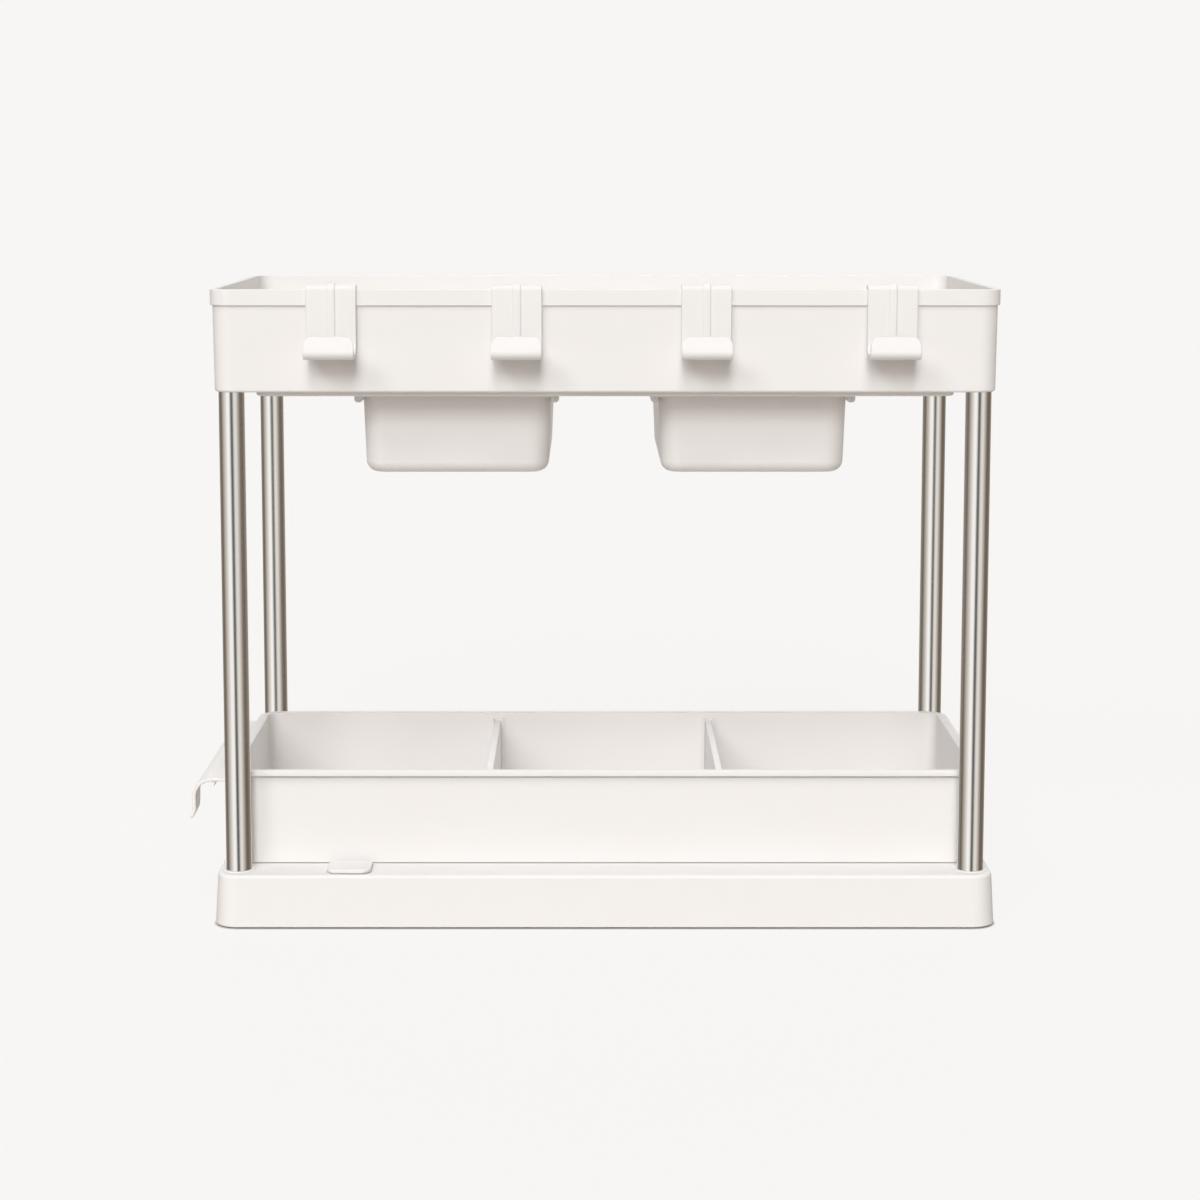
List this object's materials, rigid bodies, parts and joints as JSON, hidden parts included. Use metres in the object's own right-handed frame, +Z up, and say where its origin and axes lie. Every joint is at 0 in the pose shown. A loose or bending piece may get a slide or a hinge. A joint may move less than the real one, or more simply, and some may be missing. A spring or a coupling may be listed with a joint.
{
  "type": "two-tier cabinet organizer",
  "caption": "Open upper tray on steel tubes above a low base, with a divided pull-out drawer, hanging slide-out bins and lift-off hooks.",
  "frame": {"origin": "On the floor, at the flat bottom of the boss in the middle of the base.", "axes": "+X to the right along the length, as seen from the front with the hooks; +Y from the front to the back; +Z up."},
  "size_m": [0.4189, 0.22, 0.3317],
  "materials": {
    "white_plastic": "satin off-white moulded plastic",
    "brushed_steel": "brushed stainless steel, grain along the tube",
    "grey_rubber": "matt grey rubber"
  },
  "bodies": {
    "stand": {"base_tray": "white_plastic", "foot_pad_front_left": "grey_rubber", "foot_pad_front_right": "grey_rubber", "foot_pad_back_left": "grey_rubber", "foot_pad_back_right": "grey_rubber", "ledge_tab": "white_plastic", "tube_front_left": "brushed_steel", "tube_front_right": "brushed_steel", "tube_back_left": "brushed_steel", "tube_back_right": "brushed_steel", "lower_plug_front_left": "white_plastic", "lower_plug_front_right": "white_plastic", "lower_plug_back_left": "white_plastic", "lower_plug_back_right": "white_plastic", "upper_plug_front_left": "white_plastic", "upper_plug_front_right": "white_plastic", "upper_plug_back_left": "white_plastic", "upper_plug_back_right": "white_plastic", "upper_tray": "white_plastic", "left_bin_runner_left": "white_plastic", "left_bin_runner_right": "white_plastic", "right_bin_runner_left": "white_plastic", "right_bin_runner_right": "white_plastic"},
    "drawer": {"drawer": "white_plastic", "drawer_handle": "white_plastic"},
    "left_divider": {"left_divider": "white_plastic"},
    "right_divider": {"right_divider": "white_plastic"},
    "left_bin": {"left_bin": "white_plastic"},
    "right_bin": {"right_bin": "white_plastic"},
    "hook_1": {"hook_1": "white_plastic"},
    "hook_2": {"hook_2": "white_plastic"},
    "hook_3": {"hook_3": "white_plastic"},
    "hook_4": {"hook_4": "white_plastic"}
  },
  "joints": [
    {"name": "drawer_slide", "type": "slide", "parent": "stand", "child": "drawer", "axis": [-1, 0, 0], "range_m": [0, 0.19]},
    {"name": "left_divider_lift", "type": "slide", "parent": "drawer", "child": "left_divider", "axis": [0, 0, 1], "range_m": [0, 0.05]},
    {"name": "right_divider_lift", "type": "slide", "parent": "drawer", "child": "right_divider", "axis": [0, 0, 1], "range_m": [0, 0.05]},
    {"name": "left_bin_slide", "type": "slide", "parent": "stand", "child": "left_bin", "axis": [0, -1, 0], "range_m": [0, 0.12]},
    {"name": "right_bin_slide", "type": "slide", "parent": "stand", "child": "right_bin", "axis": [0, -1, 0], "range_m": [0, 0.12]},
    {"name": "hook_1_lift", "type": "slide", "parent": "stand", "child": "hook_1", "axis": [0, 0, 1], "range_m": [0, 0.04]},
    {"name": "hook_2_lift", "type": "slide", "parent": "stand", "child": "hook_2", "axis": [0, 0, 1], "range_m": [0, 0.04]},
    {"name": "hook_3_lift", "type": "slide", "parent": "stand", "child": "hook_3", "axis": [0, 0, 1], "range_m": [0, 0.04]},
    {"name": "hook_4_lift", "type": "slide", "parent": "stand", "child": "hook_4", "axis": [0, 0, 1], "range_m": [0, 0.04]}
  ]
}
